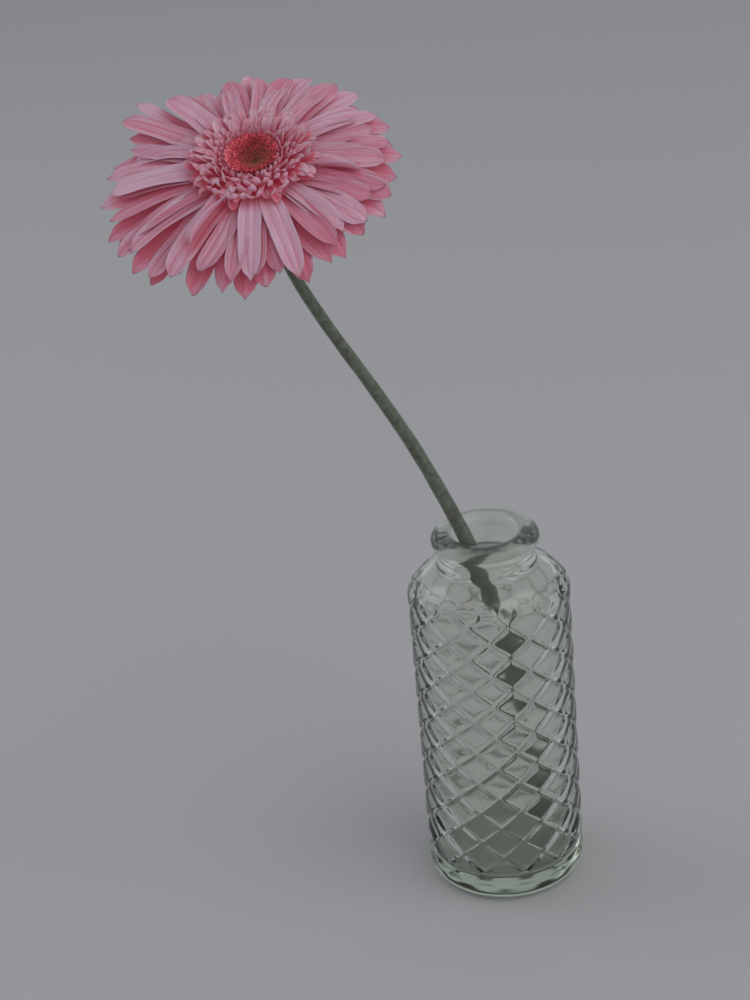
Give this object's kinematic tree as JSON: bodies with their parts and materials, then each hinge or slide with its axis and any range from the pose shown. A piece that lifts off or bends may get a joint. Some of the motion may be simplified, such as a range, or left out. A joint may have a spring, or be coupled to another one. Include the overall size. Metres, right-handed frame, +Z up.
{
  "type": "preserved gerbera in bottle",
  "caption": "Preserved pink gerbera on a bare leaning stem, standing dry in a small pressed glass bottle with a raised diamond net.",
  "frame": {"origin": "middle of the bottle's foot, on the surface that it stands on", "axes": "+Z up along the bottle's axis; the flower leans out to -X and -Y and faces -Y"},
  "size_m": [0.1543, 0.1268, 0.342],
  "materials": {
    "bottle_glass": "clear pressed glass with a faint green tint",
    "stem_green": "dry matte grey-green stalk with fine down",
    "bract_green": "dry matte green bracts",
    "petal_pink": "soft matte dusty pink petal",
    "petal_pale": "soft matte pale pink petal",
    "floret_coral": "matte coral red florets, olive in the middle"
  },
  "bodies": {
    "root": {"bottle": "bottle_glass", "stem": "stem_green", "calyx": "bract_green", "ray_petals": "petal_pink", "inner_petals": "petal_pale", "disc_florets": "floret_coral"}
  },
  "joints": []
}
